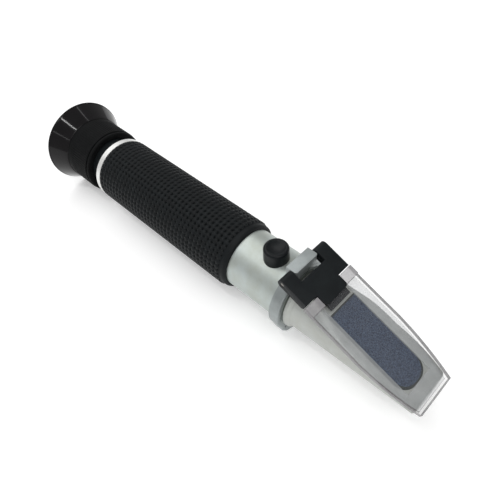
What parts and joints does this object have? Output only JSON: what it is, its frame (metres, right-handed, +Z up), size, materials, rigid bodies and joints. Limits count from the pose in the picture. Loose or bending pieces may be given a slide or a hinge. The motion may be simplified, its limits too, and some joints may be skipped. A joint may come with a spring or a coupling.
{
  "type": "refractometer",
  "caption": "Hand-held refractometer with a ribbed focusing eyepiece, studded rubber grip, capped calibration screw and a hinged clear cover over a sloping prism.",
  "frame": {"origin": "under the middle of the length, level with the lowest point of the eyecup", "axes": "+X along the optical axis towards the prism, +Z up towards the calibration screw and cover hinge, +Y across"},
  "size_m": [0.1986, 0.0396, 0.0403],
  "materials": {
    "aluminium_satin": "satin, fine bead-blasted",
    "bright_ring": "turned, bright",
    "grip_rubber": "matte, moulded studs",
    "cap_rubber": "matte",
    "eyecup_gloss": "glossy",
    "black_plastic": "fine matte",
    "clear_plastic": "clear, polished",
    "prism_glass": "ground face, blue-grey",
    "lens_glass": "polished",
    "seal_black": "satin",
    "steel": "turned",
    "brass": "turned",
    "blackened_metal": "matte black",
    "bimetal": "rolled strip"
  },
  "bodies": {
    "housing": {"main_tube": "aluminium_satin", "grip_sleeve": "grip_rubber", "end_ring": "bright_ring", "eyepiece_bush": "black_plastic", "reticle_cell": "blackened_metal", "reticle": "lens_glass", "reticle_retainer": "blackened_metal", "inner_barrel": "blackened_metal", "light_baffle": "blackened_metal", "bimetal_strip": "bimetal", "bimetal_block": "blackened_metal", "bimetal_rivet": "steel", "guide_ring_rear": "blackened_metal", "guide_ring_front": "blackened_metal", "return_spring": "steel", "calibration_bush": "brass", "hinge_collar": "aluminium_satin", "collar_screw": "steel", "hinge_pin": "steel", "prism_body": "aluminium_satin", "prism": "prism_glass", "prism_seal": "seal_black", "entrance_stop": "blackened_metal"},
    "cover": {"cover_bracket": "black_plastic", "daylight_plate": "clear_plastic"},
    "lens_slide": {"lens_cell": "blackened_metal", "eye_lens": "lens_glass", "lens_spacer": "blackened_metal", "field_lens": "lens_glass", "eye_retainer": "blackened_metal", "field_retainer": "blackened_metal", "cell_o_ring": "seal_black"},
    "focus_knob": {"focus_ring": "black_plastic", "eyecup": "eyecup_gloss"},
    "objective_slide": {"objective_cell": "blackened_metal", "objective_lens": "lens_glass", "objective_retainer": "blackened_metal"},
    "calibration": {"calibration_screw": "steel"},
    "cap": {"screw_cap": "cap_rubber"}
  },
  "joints": [
    {"name": "cover_hinge", "type": "hinge", "parent": "housing", "child": "cover", "pos_m": [0.04343, 0, 0.03836], "axis": [0, -1, 0], "range_deg": [0, 105]},
    {"name": "focus_slide", "type": "slide", "parent": "housing", "child": "lens_slide", "axis": [-1, 0, 0], "range_m": [-0.00125, 0.002]},
    {"name": "focus_turn", "type": "hinge", "parent": "lens_slide", "child": "focus_knob", "pos_m": [-0.08102, 0, 0.01982], "axis": [-1, 0, 0], "range_deg": [-150.5, 240.5]},
    {"name": "adjust_slide", "type": "slide", "parent": "housing", "child": "objective_slide", "axis": [0, 0, 1], "range_m": [-0.0002, 0.0002], "deforming": ["return_spring"]},
    {"name": "adjust_turn", "type": "hinge", "parent": "objective_slide", "child": "calibration", "pos_m": [0.03068, 0, 0.03182], "axis": [0, 0, 1], "range_deg": [-160.5, 160.5]},
    {"name": "cap_lift", "type": "slide", "parent": "housing", "child": "cap", "axis": [0, 0, 1], "range_m": [0, 0.012]}
  ],
  "couplings": [
    {"joint": "focus_turn", "follows": "focus_slide", "rad_per_m": 2094.4},
    {"joint": "adjust_turn", "follows": "adjust_slide", "rad_per_m": 13963}
  ]
}
